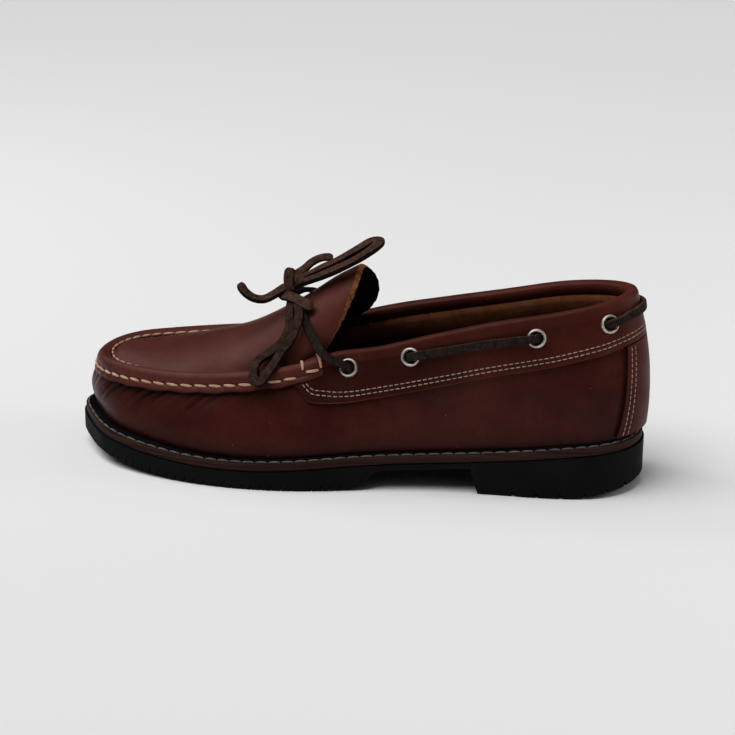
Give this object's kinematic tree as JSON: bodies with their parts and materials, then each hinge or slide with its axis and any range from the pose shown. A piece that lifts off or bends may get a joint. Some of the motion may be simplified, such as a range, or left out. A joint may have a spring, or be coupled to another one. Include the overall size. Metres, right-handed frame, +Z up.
{
  "type": "boat shoe",
  "caption": "Low moccasin-style shoe with a sewn apron toe, a lace run through the collar, a tied bow and a siped boat sole.",
  "frame": {"origin": "on the floor, under the middle of the shoe's length and width, its free lace left out", "axes": "+Z up; the toe points along -X, the heel along +X, and the outer side of the foot faces -Y"},
  "size_m": [0.3062, 0.105, 0.1234],
  "materials": {
    "leather": "glossy",
    "leather_trim": "glossy",
    "rubber": "matte",
    "rand": "matte",
    "suede": "matte",
    "rawhide": "matte",
    "nickel": "satin"
  },
  "bodies": {
    "root": {"outsole": "rubber", "midsole": "rand", "insole": "suede", "upper": "leather", "apron_tongue": "leather", "collar_band": "leather_trim", "heel_strip": "leather_trim", "lace_side_outer": "rawhide", "lace_side_inner": "rawhide", "lace_front_outer": "rawhide", "lace_front_inner": "rawhide", "lace_heel": "rawhide", "lace_knot": "rawhide", "lace_loop_high": "rawhide", "lace_loop_low": "rawhide", "lace_end_short": "rawhide", "lace_end_long": "rawhide", "eyelet_outer_1": "nickel", "eyelet_outer_2": "nickel", "eyelet_outer_3": "nickel", "eyelet_outer_4": "nickel", "eyelet_inner_1": "nickel", "eyelet_inner_2": "nickel", "eyelet_inner_3": "nickel", "eyelet_inner_4": "nickel"}
  },
  "joints": []
}
